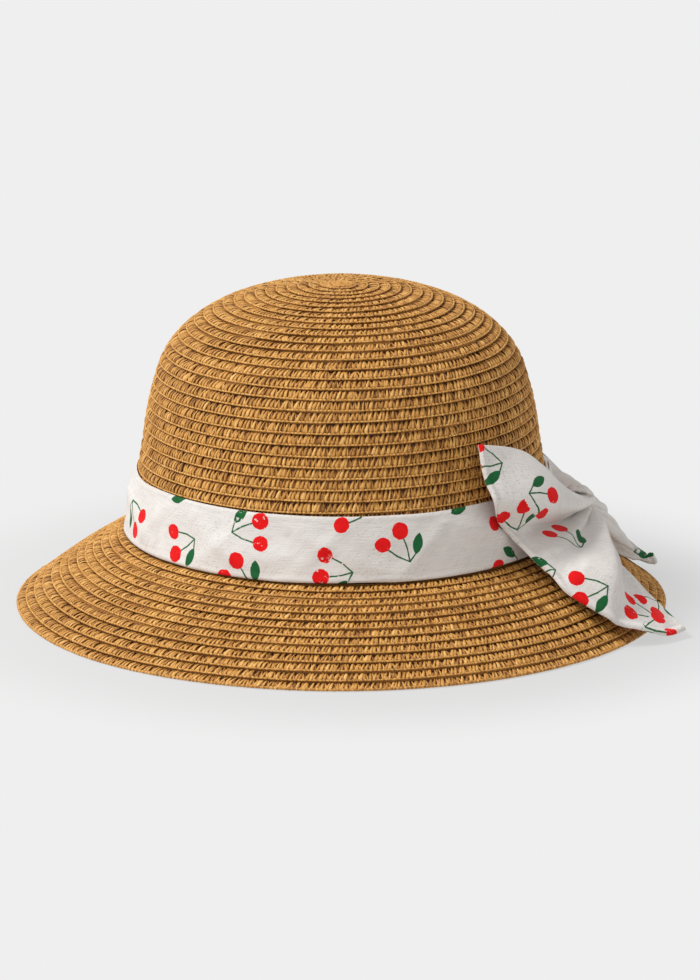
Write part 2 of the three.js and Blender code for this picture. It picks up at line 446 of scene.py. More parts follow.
def cotton_shader(name, tint=(1.0, 1.0, 1.0), thread=0.42):
    """Slubby plain-woven cotton; thread is the distance between threads in millimetres."""
    shader = Shader(name, roughness=0.85, specular=0.2, sheen=0.08)
    place = shader.position()
    warp, weft, _ = shader.vector_parts("cloth")
    flat = shader.attribute("cloth", "Vector")
    slub_u = shader.noise(shader.scaled(flat, (0.12, 2.2, 1)), 1.0, detail=3)
    slub_v = shader.noise(shader.scaled(flat, (2.2, 0.12, 1)), 1.0, detail=3)
    ridge_u, ridge_v = [
        ((across * (1 / thread)).math("FRACT") - 0.5).math("ABSOLUTE") for across in (weft, warp)
    ]
    weave = ridge_u * 0.5 + ridge_v * 0.5 + slub_u * 1.1 + slub_v * 1.1
    cloudy = shader.noise(place, 45, detail=3)
    tone = (slub_u + slub_v) * 0.5 + (cloudy - 0.5) * 0.35
    stops = [
        (0.28, (0.60, 0.555, 0.515)), (0.5, (0.75, 0.712, 0.675)), (0.72, (0.82, 0.795, 0.76)),
    ]
    stops = [(at, tuple(a * b for a, b in zip(colour, tint))) for at, colour in stops]
    shader.rough(cloudy.remap(0.3, 0.7, 0.8, 0.92))
    shader.bump(weave, 0.6, 0.0003)
    return shader, shader.ramp(tone, *stops)


def printed_cotton():
    """Pairs of cherries on stems, drawn around the places held in the motif attribute.

    The drawing is in millimetres from the joint of its stems.
    """
    shader, colour = cotton_shader("printed_cotton")
    place = shader.position()
    x, y, wear = shader.vector_parts("motif")
    wobble = (shader.noise(place, 700, detail=2) - 0.5) * 0.9
    ink = (shader.noise(place, 420, detail=4, roughness=0.7) + wear * 0.16).remap(0.72, 0.66)
    fruit = disc(x, y, (-12.0, 7.1), 3.5, 1.1).least(disc(x, y, (-4.4, 13.1), 3.6, 0.98))
    red = (fruit + wobble).remap(0.12, -0.12) * ink
    stems = stroke(x, y, (-9.6, 5.0), (-5.2, 2.0), (0, 0), (-1.2, 5.4), (-3.1, 10.2))
    stems = stems.least(stroke(x, y, (0, 0), (2.5, 3.4)))
    leaf = disc(x, y, (7.25, 6.95), 6.1).most(disc(x, y, (-0.45, 8.45), 6.1))
    green = (leaf.least(stems - 0.34) + wobble * 0.5).remap(0.12, -0.12) * ink
    stretched = shader.scaled(shader.attribute("cloth", "Vector"), (0.7, 1.6, 1))
    flecks = shader.noise(stretched, 1.0, detail=2)
    patches = shader.noise(place, 26, detail=2).remap(0.53, 0.63)
    colour = shader.mix(flecks.remap(0.6, 0.7) * patches * 0.6, colour, (0.30, 0.26, 0.25))
    print_tone = shader.noise(place, 260, detail=2)
    green_ink = shader.mix(print_tone, (0.004, 0.075, 0.018), (0.015, 0.15, 0.045))
    red_ink = shader.mix(print_tone, (0.66, 0.002, 0.004), (0.9, 0.008, 0.008))
    colour = shader.mix(green, colour, green_ink)
    shader.base(shader.mix(red, colour, red_ink))
    return shader.material


def plain_cotton(name, tint, thread):
    shader, colour = cotton_shader(name, tint, thread)
    shader.base(colour)
    return shader.material


COTTON = printed_cotton()
RIBBON = plain_cotton("sweatband_cotton", (0.86, 0.76, 0.62), 0.9)
SATIN = plain_cotton("label_satin", (1.05, 1.04, 1.02), 0.2)
THREAD = thread_material("sewing_thread", (0.86, 0.83, 0.78), (0.6, 0.56, 0.5))


# ---- Braid ----
class Rows:
    """The path of the braid's lower edge round an outline.

    The braid steps up by rise rows in the first part of each turn, jog, or steadily if jog is 1.
    Each row is narrower than the one before by twice the taper. Sway is the number of waves
    in a turn, slow and quick.
    """

    SAMPLES = 400  # per turn

    def __init__(
        self, outline, pitch, turns, phase, start=0.0, rise=1, jog=1.0, taper=0.0, sway=(2.13, 7.37)
    ):
        self.outline, self.pitch, self.start, self.phase = outline, pitch, start, phase
        self.rise, self.jog, self.taper, self.sway = rise, jog, taper, sway
        self.theta = np.linspace(0, turns * TURN, int(turns * self.SAMPLES) + 1)
        radius = outline.at(self.low(self.theta))[0]
        gaps = np.diff(self.theta) * (radius[1:] + radius[:-1]) / 2
        self.travel = np.concatenate([[0], np.cumsum(gaps)])

    def step(self, turn):
        """The share of a row's width climbed after a part of a turn."""
        step = np.clip(turn / self.jog, 0, 1)
        return ease(step) if self.jog < 1 else step

    def row(self, theta):
        whole = np.floor(theta / TURN)
        return self.rise * (whole + self.step(theta / TURN - whole))

    def climb(self, angle, s):
        """How many rows of braid up the outline a place is; the part of a row runs from 0 to 1."""
        climbed = s - self.start
        row = 2 * climbed / (self.pitch + np.sqrt(self.pitch**2 - 4 * self.taper * climbed))
        return row - self.step((angle - self.phase) / TURN % 1)

    def low(self, theta):
        slow, quick = self.sway
        wave = 0.17 * np.sin(slow * theta) + 0.09 * np.sin(quick * theta + 1)
        row = self.row(theta)
        return self.start + self.pitch * row - self.taper * row * row + wave

    def evenly(self, spacing):
        count = round(self.travel[-1] / spacing)
        return np.interp(np.arange(count) * self.travel[-1] / count, self.travel, self.theta)

    def depth(self, q):
        """Height below the crest line: proud at a row's lower edge, tucked in at its upper one."""
        across = np.clip(q, 0, None) / self.pitch
        return -0.62 - 0.1 * across - 1.15 * across**3

    def place(self, theta, along, q, h):
        """Points along mm further round than theta, q up from the row's lower edge, h out."""
        radius = self.outline.at(self.low(theta) + q)[0]
        turned = theta + along / np.maximum(radius, 1.5)
        s = self.low(turned) + q * (1 - 2 * self.taper * self.row(turned) / self.pitch)
        angle = turned + self.phase
        return self.outline.place(angle, s, h), self.outline.normal(angle, s)


def spread(count, size):
    """Random offsets of a strand each, as a column."""
    return size * rng.standard_normal((count, 1))


def strand_tones_with_painted_light(base, along, sides, across):
    """Tones of many strands' points: random fibre streaks along their length, painted shade along
    each strand from along, a painted highlight on their tops and painted shade down their sides.
    """
    turn = np.arange(sides) * TURN / sides
    # painted light: lighter on the upper face of each strand, painted shade down its sides as deep
    # as across
    ring = 0.13 * np.sin(turn) - across * np.abs(np.cos(turn))
    tones = base[:, :, None] + along[None, :, None] + ring[None, None]
    tones = tones + 0.1 * rng.standard_normal((len(base), 1, sides))
    return tones + 0.07 * rng.standard_normal(tones.shape)


def braid(name, rows, lean, cord_radius, replaces, parts, material=STRAW, slot="straw_braid"):
    """V-shaped pairs of strands above an edge cord, in a few pieces of similar length."""
    theta = rows.evenly(STRAND_SPACING)
    count = len(theta)
    reach = rows.pitch - 0.15
    t = np.linspace(0, 1, 6)[None]
    front_q = 0.6 + reach * t + spread(count, 0.12)
    front_along = spread(count, 0.33) + lean * (1 + spread(count, 0.3)) * t**1.1
    bulge = (0.3 + spread(count, 0.1)) * np.sin(math.pi * np.clip(t * 1.08, 0, 1))
    front_h = rows.depth(front_q) + bulge + spread(count, 0.06)
    front = rows.place(theta[:, None], front_along, front_q, front_h)
    front_width = (0.77 - 0.3 * t) * (1 + spread(count, 0.18))
    # painted shade: darker towards each strand's upper end, tucked under the next row's cord, and a
    # little at its foot just above the cord
    front_shade = -0.38 * t[0] ** 3 - 0.12 * (t[0] < 0.1)
    front_tone = strand_tones_with_painted_light(0.6 + spread(count, 0.11), front_shade, 7, 0.2)

    back_t = np.linspace(0, 1, 5)[None]
    back_q = 0.5 + reach * back_t + spread(count, 0.12)
    back_along = spread(count, 0.36) - (0.75 + spread(count, 0.4)) * back_t
    back_h = rows.depth(back_q) - 0.07 + 0.12 * np.sin(math.pi * back_t) + spread(count, 0.1)
    back = rows.place(theta[:, None], back_along, back_q, back_h)
    back_width = (0.8 - 0.42 * back_t) * (1 + spread(count, 0.18))
    # painted shade: the back strands darken towards their upper ends, under the next row's cord
    back_tone = strand_tones_with_painted_light(0.5 + spread(count, 0.11), -0.3 * back_t[0] ** 2, 5, 0.18)

    cord_theta = rows.evenly(STRAND_SPACING / 4)
    if rows.rise == 0:
        cord_theta = np.append(cord_theta, TURN)
    ply = np.arange(len(cord_theta)) * TURN / PLY_LENGTH
    cord_q = cord_radius - 0.06 + 0.09 * np.sin(ply)
    cord = rows.place(cord_theta, 0.0, cord_q, -0.5 + 0.09 * np.sin(ply + 1))
    cord_girth = cord_radius * (1 + 0.22 * np.sin(ply) + 0.08 * rng.standard_normal(len(ply)))
    # random tone of the cord plus a painted highlight on each swell of its twist, in step with its
    # girth; the ring tones add painted shade down its sides
    cord_tone_with_twist_highlight = 0.56 + 0.18 * np.sin(ply) + 0.12 * rng.standard_normal(len(ply))
    cord_tone = strand_tones_with_painted_light(cord_tone_with_twist_highlight[None], 0 * ply, 6, 0.14)[0]

    cut_theta = np.interp(np.linspace(0, rows.travel[-1], parts + 1), rows.travel, rows.theta)
    for part in range(parts):
        bundle = Bundle()
        final = part == parts - 1
        chosen = (theta >= cut_theta[part]) & ((theta < cut_theta[part + 1]) | final)
        for (points, normals), width, thick, tone in (
            (front, front_width, 0.34, front_tone), (back, back_width, 0.28, back_tone),
        ):
            sides = tone.shape[2]
            tube_points, quads = tubes(points[chosen], normals[chosen], width[chosen], thick, sides)
            bundle.add(tube_points, quads, tone[chosen])
        chosen = (cord_theta < cut_theta[part + 1]) | final
        chosen = chosen & (cord_theta >= cut_theta[part] - 0.01)  # a little overlap
        girth = cord_girth[chosen][None]
        tube_points, quads = tubes(cord[0][chosen][None], cord[1][chosen][None], girth, girth, 6)
        bundle.add(tube_points, quads, cord_tone[chosen])
        bundle.piece(f"{name}_{part + 1}", material, slot, replaces)


def lining(name, rows, closed_top, tail=0.0):
    """The layer under the strands, stepped like them; on its outer face the upper part of each row
    is painted darker, a painted shade under the next row's cord. Seen inside, it is the back of the
    braid.

    Its tail runs straight down past the outline's lower end, in millimetres.
    """
    outline = rows.outline
    around = 192
    steps = round(outline.length / rows.pitch) * 6
    theta = round_column(around).T
    s = np.linspace(0.4 - tail, outline.length - 0.4, steps + 1)[:, None]
    climb = rows.climb(theta, s)
    fraction = climb % 1
    outer = outline.place(theta, s, -1.02 - 0.1 * fraction - 1.05 * fraction**3)
    ripple = 0.1 * np.sin(theta * around / 3 + 3 * fraction)
    inner = outline.place(theta, s, 0.35 * (1 - fraction) - WALL - 0.4 + ripple)
    for layer in (outer, inner):
        layer[..., 2] += np.minimum(s, 0)
    points = np.concatenate([outer.reshape(-1, 3), inner.reshape(-1, 3)])
    i, j = np.meshgrid(np.arange(steps), np.arange(around), indexing="ij")
    a, b = i * around + j, i * around + (j + 1) % around
    outside = np.stack([a, b, b + around, a + around], -1).reshape(-1, 4)
    offset = (steps + 1) * around
    inside = outside[:, ::-1] + offset
    k = np.arange(around)
    n = (k + 1) % around
    edges = [np.stack([k + offset, n + offset, n, k], -1)]
    if not closed_top:
        top = steps * around
        edges.append(np.stack([k + top, n + top, n + top + offset, k + top + offset], -1))
    quads = np.concatenate([outside, inside, *edges])
    slots = np.zeros(len(quads), int)
    slots[len(outside) : len(outside) + len(inside)] = 1
    materials = [STRAW, INSIDE_STRAW]
    piece = make_piece(name, points, quads, materials, face_slots=slots)
    # painted shade: each row's upper part, tucked under the next row's cord, is painted darker
    painted_shade_under_cord = ease(np.clip((fraction - 0.5) / 0.3, 0, 1))
    set_tone(piece, np.concatenate([0.48 - 0.5 * painted_shade_under_cord] * 2))
    corners = quads % offset
    heights = climb.ravel()[corners]
    heights = heights - np.round(heights - heights[:, :1])
    row = np.floor(heights.mean(1, keepdims=True))
    turn = corners % around / around
    turn = turn + (turn < turn.max(1, keepdims=True) - 0.5)
    radius = outline.at(rows.start + rows.pitch * (row + 0.5) - rows.taper * row * row)[0]
    strands = np.maximum(np.round(TURN * radius / STRAND_SPACING), 1)
    corner_vectors(piece, "weave", np.stack([turn * strands, heights - row, 0 * turn], -1))


crown_turns = (CROWN.length - TIP_LENGTH) / CROWN_PITCH
crown_rows = Rows(CROWN, CROWN_PITCH, crown_turns, phase=0.4, start=0.5)
braid(
    "crown_rows", crown_rows, lean=1.6, cord_radius=0.41, parts=6,
    replaces=("crown_side_braid", "crown_top_braid", "crown_tip_coil"),
)
brim_turns = BRIM_ROWS - 1 + BRIM_JOG
brim_rows = Rows(BRIM, BRIM_PITCH, brim_turns, BACK, jog=BRIM_JOG, taper=BRIM_TAPER)
braid("brim_rows", brim_rows, lean=1.5, cord_radius=0.43, parts=4, replaces=("brim_braid",))
edge_rows = Rows(BRIM, BRIM_PITCH, 1, BACK, rise=0, sway=(2, 7))
braid(
    "brim_edge_braid", edge_rows, lean=1.5, cord_radius=0.66, parts=1,
    replaces=("brim_edge_row",), material=EDGE_STRAW, slot="straw_edge",
)
lining("crown_under_layer", crown_rows, closed_top=True, tail=3.6)
lining("brim_under_layer", brim_rows, closed_top=False)


def crown_tip():
    """The start of the spiral: a small tight coil on the crown's axis."""
    bundle = Bundle()
    rings, wind = 160, 2.6
    turns = np.linspace(0, 1, rings)
    angle = turns * TURN * wind
    radius = 0.5 + 5.2 * turns
    height = CROWN_TOP - 0.75 - 0.05 * turns
    centres = np.stack([AXIS_X + radius * np.cos(angle), radius * np.sin(angle), height], -1)
    up = np.broadcast_to(np.array([0.0, 0, 1]), centres.shape)
    ply = 0.1 * np.sin(np.arange(rings) * 1.4)
    points, quads = tubes(centres[None], up[None], (1.0 + ply)[None], (0.6 + ply)[None], 8)
    # painted highlight: the tone rises where the coil swells
    bundle.add(points, quads, 0.6 + np.repeat(ply, 8))
    bundle.piece("crown_tip_coil_braid", STRAW, "straw_braid")


crown_tip()


# ---- Cloth ----
MOTIF_MIDDLE = (-4.0, 7.5)  # of the drawing, from the joint of its stems
MOTIF_REACH = 14  # from its middle
OFF_DRAWING = 99
WRONG_SIDE = 40  # added to a motif's distance on cloth that faces away from it


def place_cloth(piece, quads, cloth):
    """Flat cloth coordinates in millimetres as corner values, the same on both faces."""
    cloth = np.concatenate([cloth.reshape(-1, 2)] * 2)
    corner_vectors(piece, "cloth", np.concatenate([cloth, 0 * cloth[:, :1]], 1)[quads.ravel()])


def place_motifs(piece, quads, points, motifs):
    """Gives each face its nearest motif's flat coordinates, in millimetres, as corner values.

    Faces out of every motif's reach get a place off the drawing, so they stay plain.
    """
    corners = points[quads]
    centres = corners.mean(1)
    normals = unit(np.cross(corners[:, 2] - corners[:, 0], corners[:, 3] - corners[:, 1]))
    best = np.full(len(centres), 1e9)
    pick = np.zeros(len(centres), int)
    for index, (point, facing, x_axis, y_axis, _) in enumerate(motifs):
        middle = point + x_axis * MOTIF_MIDDLE[0] + y_axis * MOTIF_MIDDLE[1]
        away = normals @ facing < 0.1
        gap = np.linalg.norm(centres - middle, axis=1) + WRONG_SIDE * away
        closer = gap < best
        best[closer], pick[closer] = gap[closer], index
    origin, _, x_axis, y_axis, wear = [np.array(part)[pick][:, None] for part in zip(*motifs)]
    offset = corners - origin
    wear = np.broadcast_to(wear, offset.shape[:2])
    local = np.stack([(offset * x_axis).sum(-1), (offset * y_axis).sum(-1), wear], -1)
    local[best > MOTIF_REACH] = OFF_DRAWING
    corner_vectors(piece, "motif", local)


def motif_frame(point, normal, along, turn, flip=False, wear=0.0):
    """A motif's place on a surface: along is a direction in the surface, turn is in degrees."""
    normal = unit(normal)
    along = unit(along - normal * np.dot(along, normal))
    across = np.cross(normal, along)
    c, s = math.cos(math.radians(turn)), math.sin(math.radians(turn))
    x_axis = (along * c + across * s) * (-1 if flip else 1)
    return point, normal, x_axis, -along * s + across * c, wear


def smooth_noise(shape, cells, seed, wrap=False):
    """Soft random heights over a grid, by cubic blending between a few random values."""
    values = np.random.default_rng(seed).standard_normal((cells[0] + 1, cells[1] + 1))
    if wrap:
        values[-1] = values[0]
    x = np.linspace(0, cells[0], shape[0])
    y = np.linspace(0, cells[1], shape[1])
    ix = np.minimum(x.astype(int), cells[0] - 1)
    iy = np.minimum(y.astype(int), cells[1] - 1)
    fx, fy = ease(x - ix), ease(y - iy)
    a, b = [values[i][:, iy] * (1 - fy) + values[i][:, iy + 1] * fy for i in (ix, ix + 1)]
    return a * (1 - fx[:, None]) + b * fx[:, None]


def skin_pair(front, back, wrap_u=False):
    """Quads of a closed form made of two grids of the same shape, joined round their rims."""
    nu, nv = front.shape[:2]
    count = nu * nv
    rows = np.arange(nu if wrap_u else nu - 1)
    i, j = np.meshgrid(rows, np.arange(nv - 1), indexing="ij")
    a = i * nv + j
    b = ((i + 1) % nu) * nv + j
    outside = np.stack([a, b, b + 1, a + 1], -1).reshape(-1, 4)
    inside = outside[:, ::-1] + count
    k = rows * nv
    n = ((rows + 1) % nu) * nv
    e = nv - 1
    rims = [
        np.stack([k, k + count, n + count, n], -1),
        np.stack([n + e, n + e + count, k + e + count, k + e], -1),
    ]
    if not wrap_u:
        m = np.arange(nv - 1)
        rims.append(np.stack([m + 1, m + 1 + count, m + count, m], -1))
        last = (nu - 1) * nv
        rims.append(np.stack([last + m, last + m + count, last + m + 1 + count, last + m + 1], -1))
    points = np.concatenate([front.reshape(-1, 3), back.reshape(-1, 3)])
    return points, np.concatenate([outside, inside, *rims])


def strip(
    name, outline, s_span, middle_h, half, material, node, span=None, lift=0.0, cells=(40, 24)
):
    """A soft strip of cloth on an outline: all the way round, or over a span of angles.

    Its middle lies middle_h out from the outline, and half is half of its thickness.
    """
    around, across = cells
    low, high = s_span
    v = np.linspace(0, 1, across)[None]
    if span is None:
        theta = round_column(around)
        ends = 1.0
    else:
        theta = np.linspace(*span, around)[:, None]
        radius = outline.at((low + high) / 2)[0]
        ends = edge_round(np.minimum(theta - span[0], span[1] - theta) * radius, 0.7)
    theta, s = np.broadcast_arrays(theta, low + (high - low) * v)
    body = half * edge_round(s - low, 0.8) * edge_round(high - s, 0.8) * ends + 0.03
    outer = outline.place(theta, s, middle_h + lift + body)
    inner = outline.place(theta, s, middle_h + 0.3 * lift - body)
    points, quads = skin_pair(outer, inner, wrap_u=span is None)
    piece = make_piece(name, points, quads, [material], (node,))
    place_cloth(piece, quads, np.stack([theta * outline.at(s)[0], s], -1))
    return piece, points, quads


def hatband():
    """The printed band: stretched round the crown's base, with soft slanting creases and hems."""
    around, across = 1100, 34
    theta = round_column(around)
    v = np.linspace(0, 1, across)[None]
    low = 0.15 + 0.3 * smooth_noise((around, 1), (26, 1), 5, wrap=True)
    high = BAND.length - 0.2 + 0.4 * smooth_noise((around, 1), (22, 1), 6, wrap=True)
    slant = 0.8 * np.clip(np.sin(theta * 9 + v * 5.5 + 0.8 * np.sin(theta * 3)), 0, 1) ** 3
    slant = slant + 0.65 * np.clip(np.sin(theta * 13 - v * 4), 0, 1) ** 4
    soft = 0.7 * smooth_noise((around, across), (34, 3), 7, wrap=True)
    near_edge = np.minimum(v, 1 - v) * BAND.length
    hem = 0.14 * ridge(near_edge, 1.3, 0.8) - 0.1 * ridge(near_edge, 3.2, 0.7)
    lift = (soft + slant) * np.sin(math.pi * v) ** 0.7 + hem
    piece, points, quads = strip(
        "hatband_cloth", BAND, (low, high), -0.5, 0.45, COTTON, "hatband",
        lift=lift, cells=(around, across),
    )
    motifs = []
    for degrees, up, turn, flip, wear in BAND_MOTIFS:
        angle, s = np.array(math.radians(degrees)), np.array(min(max(up, 0.0), BAND.length))
        point = BAND.place(angle, s, 0.4) + np.array([0, 0, up - s])
        along = np.array([-math.sin(angle), math.cos(angle), 0])
        motifs.append(motif_frame(point, BAND.normal(angle, s), along, turn, flip, wear))
    place_motifs(piece, quads, points, motifs)


# Where the motifs' stem joints lie on the band: degrees round from the bow, millimetres up, turn in
# degrees, mirrored or not, and how worn the print is. The back half repeats the front half.
FRONT_MOTIFS = [
    (-165.5, 18, -164, False, 0), (-132, 13, 146, True, 0), (-136, 32.5, 95, True, 0),
    (-120, 19, -44, True, 0.4), (-113.5, -4.6, 13, False, 0), (-87, 5, 117, True, 0.4),
    (-82, 31.5, 56, False, 0), (-72, 8.5, -4, False, 0), (-51.5, 32.5, 95, True, 0),
    (-37.5, 12, 0, False, 0), (-37, -1, 68, False, 0), (-18, 23, 130, False, 0),
]
BAND_MOTIFS = FRONT_MOTIFS + [(degrees + 180, *rest) for degrees, *rest in FRONT_MOTIFS]


def hatband_lap():
    """The lapped end of the band, behind the bow."""
    lap, points, quads = strip(
        "hatband_lap_cloth", BAND, (1.8, BAND.length - 0.8), 0.95, 0.5, COTTON,
        "hatband_lap", span=(-0.1, 0.1), cells=(30, 24),
    )
    place = BAND.place(np.array(0.1), np.array(10.0), 0.9)
    place_motifs(lap, quads, points, [motif_frame(place, RIGHT, BACKWARD, 0)])


hatband()
hatband_lap()

# Fold lines of the bow's wings, from the knot (first point) to the free outer edge (last point),
# listed from the upper edge to the lower edge.
FRONT_FOLDS = [
    [(105, -1.6, 49), (107.2, -9, 48.6), (96.8, -32, 59), (79, -51, 80), (58.5, -69, 88.3)],
    [(105.6, -1.6, 48.6), (109.5, -10, 49.2), (101, -36, 57.6), (84, -59, 72), (60.5, -72, 77)],
    [(105.6, -1.6, 48.2), (110.5, -10.5, 48.8), (102, -41, 53), (87, -64, 61), (65, -74.5, 64.5)],
    [(105.3, -1.6, 47.2), (107.6, -10, 47), (97.5, -36, 48), (83, -57.5, 51.5), (68, -70, 54)],
    [(104, -1.6, 46.2), (104.2, -8.3, 45.6), (96.5, -33.5, 45), (82.5, -53.5, 46.4),
     (73.8, -65.5, 46.5)],
    [(105.2, -1.6, 45.4), (109, -11, 44.6), (103, -38, 43.2), (92, -61, 41), (83, -68, 36.5)],
    [(105.2, -1.6, 44.8), (109.2, -9, 43.2), (106, -33, 40.6), (99.5, -59, 37.4),
     (90, -71.5, 30.5)],
    [(106.2, -1.6, 44.2), (112, -11, 43), (111.5, -39, 40), (106, -67, 33.5), (97.5, -75.5, 23.5)],
    [(105.8, -1.6, 43.6), (113.2, -12, 42.2), (116.5, -39, 38.6), (118, -65, 30),
     (113.5, -77.5, 14)],
    [(105.6, -1.6, 43.3), (112.6, -9.5, 41.2), (116, -31, 37), (120, -56, 28.5), (119.5, -76, 10)],
    [(105.4, -1.6, 42.6), (109.5, -7, 39.4), (113, -23, 34), (121, -47, 23.6), (130, -74, 7)],
    [(105.6, -1.6, 41.8), (111, -7.5, 38), (117, -24, 30), (130.5, -48, 18.2), (141, -69, 3.4)],
    [(104.6, -1.6, 41), (109.5, -6, 36.8), (117, -17, 27), (133.5, -38, 13.6),
     (149.3, -60.5, 3.6)],
]
REAR_FOLDS = [
    [(104.5, 1.6, 49.5), (97.5, 8, 48.6), (90.5, 18, 50.5), (80, 48, 62), (60, 71, 80)],
    [(105.3, 1.6, 49.2), (102, 13, 50.2), (93.5, 29, 52), (81, 56, 62), (62, 73, 72)],
    [(105.6, 1.6, 48.4), (107.5, 14, 46.6), (101, 32, 46.6), (86, 60, 53), (66, 74, 61)],
    [(104.8, 1.6, 47.2), (107, 14, 44), (102, 33, 42), (90, 57, 43.5), (70, 71, 50)],
    [(105.3, 1.6, 46.2), (111.5, 14.5, 42.8), (109, 36, 38.6), (98, 60, 37), (77, 66, 42)],
    [(106, 1.6, 45.2), (115, 14, 40), (115, 36, 33.4), (106, 61, 30), (87, 69, 31)],
    [(105.4, 1.6, 44), (115.5, 13.5, 37), (119, 33, 27), (114, 55, 20.5), (99, 71, 20)],
    [(105.6, 1.6, 43), (117.5, 13, 34.8), (126, 30, 21), (127, 48, 14.8), (115, 67, 12)],
    [(105, 1.6, 41.8), (116.5, 12, 31), (128, 26, 18), (136.5, 41, 10.2), (133.5, 55, 4.8)],
    [(104.8, 1.6, 41.4), (114.5, 10.5, 30.5), (124, 22, 18.5), (135, 36, 9.4), (141.5, 46, 4.8)],
    [(104.6, 1.6, 41), (111.5, 9, 30.2), (119, 18.5, 18.8), (130, 30.5, 10.6), (139.5, 38, 11.4)],
]


def fold_surface(folds, u, v):
    """Points of the surface through the fold lines; u runs out from the knot, v down."""
    lines = np.stack([catmull_rom(fold, u) for fold in folds])
    return np.moveaxis(catmull_rom(lines, v), 0, 1)


def surface_normals(points, facing):
    return unit(np.cross(np.gradient(points, axis=0), np.gradient(points, axis=1))) * facing


def bow_wing(name, folds, node, facing, seed, placements):
    """One wing of the bow: a doubled cloth with a rolled outer edge, gathered into the knot."""
    nu, nv = 170, 260
    u, v = np.linspace(0, 1, nu), np.linspace(0, 1, nv)
    middle = fold_surface(folds, u, v) + np.array([AXIS_X, 0, 0])
    normal = surface_normals(middle, facing)
    across = np.linalg.norm(np.gradient(middle, axis=1), axis=2).cumsum(1)
    out = np.linalg.norm(np.gradient(middle, axis=0), axis=2).cumsum(0)
    from_edge = out[-1:] - out
    from_sides = np.minimum(across, across[:, -1:] - across)
    gather = np.exp(-((u[:, None] / 0.28) ** 1.4))
    depth = 0.75 * gather + 1.6 * ridge(u[:, None], 0, 0.06)
    pleats = depth * np.sin(v[None] * TURN * 7.5 + 0.8 + 2.5 * u[:, None])
    long_folds = 0.55 * smooth_noise((nu, nv), (3, 13), seed)
    ripple = 0.22 * smooth_noise((nu, nv), (12, 26), seed + 1)
    rise = np.minimum(out / 22, 1) * np.minimum(from_sides / 4 + 0.3, 1)
    middle = middle + normal * (pleats + (long_folds + ripple) * rise)[..., None]
    normal = surface_normals(middle, facing)
    roll = ridge(from_edge, 1.5, 1.1) - 0.5 * ridge(from_edge, 4.0, 1.0)
    half = (0.75 + 0.5 * roll) * edge_round(from_edge, 1.2) * edge_round(from_sides, 1.0) + 0.04
    front = middle + normal * half[..., None]
    back = middle - normal * half[..., None]
    cloth = np.stack([out, across], -1)
    if facing < 0:
        front, back, cloth = front[:, ::-1], back[:, ::-1], cloth[:, ::-1]
    points, quads = skin_pair(front, back)
    piece = make_piece(name, points, quads, [COTTON], (node,))
    motifs = []
    for uu, vv, turn, flip in placements:
        i, j = int(uu * (nu - 1)), int(vv * (nv - 1))
        along = middle[min(i + 2, nu - 1), j] - middle[max(i - 2, 0), j]
        motifs.append(motif_frame(middle[i, j], normal[i, j], along, turn, flip))
        motifs.append(motif_frame(middle[i, j], -normal[i, j], along, turn + 130, not flip))
    place_cloth(piece, quads, cloth)
    place_motifs(piece, quads, points, motifs)


# Motifs on a wing: how far out, how far down, turn in degrees, mirrored or not.
FRONT_WING_MOTIFS = [
    (0.89, 0.06, -62, True), (0.87, 0.308, 176, False), (0.82, 0.142, 110, True),
    (0.67, 0.53, 128, False), (0.83, 0.65, -115, True), (0.81, 0.99, -110, True),
    (0.89, 0.91, -165, True), (0.99, 0.84, 58, True), (0.93, 0.5, -139, False),
]
REAR_WING_MOTIFS = [(0.7, 0.12, 119, False), (0.62, 0.88, -60, False), (0.85, 0.35, 120, False)]
bow_wing(
    "bow_front_wing_cloth", FRONT_FOLDS, "bow_front_wing", facing=1, seed=31,
    placements=FRONT_WING_MOTIFS,
)
bow_wing(
    "bow_rear_wing_cloth", REAR_FOLDS, "bow_rear_wing", facing=-1, seed=41,
    placements=REAR_WING_MOTIFS,
)


def bow_wrap():
    """The small strip wound round the gathers, hugging them."""
    around, across = 120, 22
    half_width = 4.6
    phi = round_column(around)
    y = np.linspace(-half_width, half_width, across)[None]
    pull = 1 + 0.05 * np.sin(3 * phi + 1) + 0.03 * np.sin(7 * phi) + 0.06 * (y / half_width) ** 2
    crease = 0.3 * np.sin(y * 1.9 + 0.6 * np.sin(phi * 2))
    crease = crease + 0.12 * smooth_noise((around, across), (14, 5), 61, wrap=True)
    half = 0.6 * edge_round(half_width - np.abs(y), 0.8) + 0.05

    def shell(offset):
        x = AXIS_X + 104.5 + (5.6 * pull + offset) * np.cos(phi)
        z = 45.6 + (5.3 * pull + offset) * np.sin(phi)
        return np.stack([x, y + 0 * phi, z], -1)

    inner, outer = [shell(crease + offset)[:, ::-1] for offset in (-half, half)]
    points, quads = skin_pair(inner, outer, wrap_u=True)
    piece = make_piece("bow_wrap_cloth", points, quads, [COTTON], ("bow_wrap",))
    place_cloth(piece, quads, np.stack([phi * 5 + 0 * y, y + 0 * phi], -1)[:, ::-1])
    beyond = np.array([AXIS_X + 119.5, 3.4, 40.6])
    place_motifs(piece, quads, points, [motif_frame(beyond, np.array([0.6, 0, 0.8]), BACKWARD, 0)])


bow_wrap()


